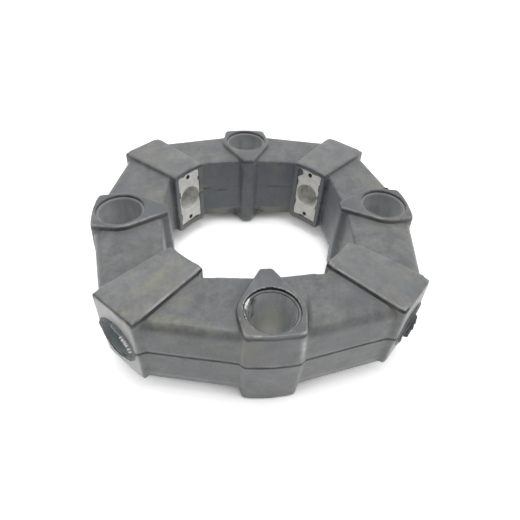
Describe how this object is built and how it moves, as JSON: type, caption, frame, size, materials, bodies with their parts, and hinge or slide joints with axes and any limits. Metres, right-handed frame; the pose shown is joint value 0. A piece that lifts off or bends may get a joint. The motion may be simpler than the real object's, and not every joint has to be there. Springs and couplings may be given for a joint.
{
  "type": "flexible coupling element",
  "caption": "Closed moulded rubber coupling ring with upright sleeved bolt bosses and, between them, radial bolt blocks with bare metal inserts that seat on a hub.",
  "frame": {"origin": "on the ring's axis, at the plane on which the four axial bosses stand", "axes": "+Z along the ring's axis, up from the standing plane; -Y points at the front axial boss, and the radial bolt blocks lie at 45 degrees between the bosses"},
  "size_m": [0.1914, 0.1914, 0.055],
  "materials": {
    "rubber": "moulded black rubber, dull, dusty grey with age",
    "sleeve_metal": "turned steel tube, dull",
    "insert_metal": "bare cast metal, matt, with fine dark specks"
  },
  "bodies": {
    "root": {"rubber_body": "rubber", "axial_sleeve_front": "sleeve_metal", "axial_sleeve_right": "sleeve_metal", "axial_sleeve_back": "sleeve_metal", "axial_sleeve_left": "sleeve_metal", "radial_insert_front_right": "insert_metal", "radial_insert_back_right": "insert_metal", "radial_insert_back_left": "insert_metal", "radial_insert_front_left": "insert_metal"}
  },
  "joints": []
}
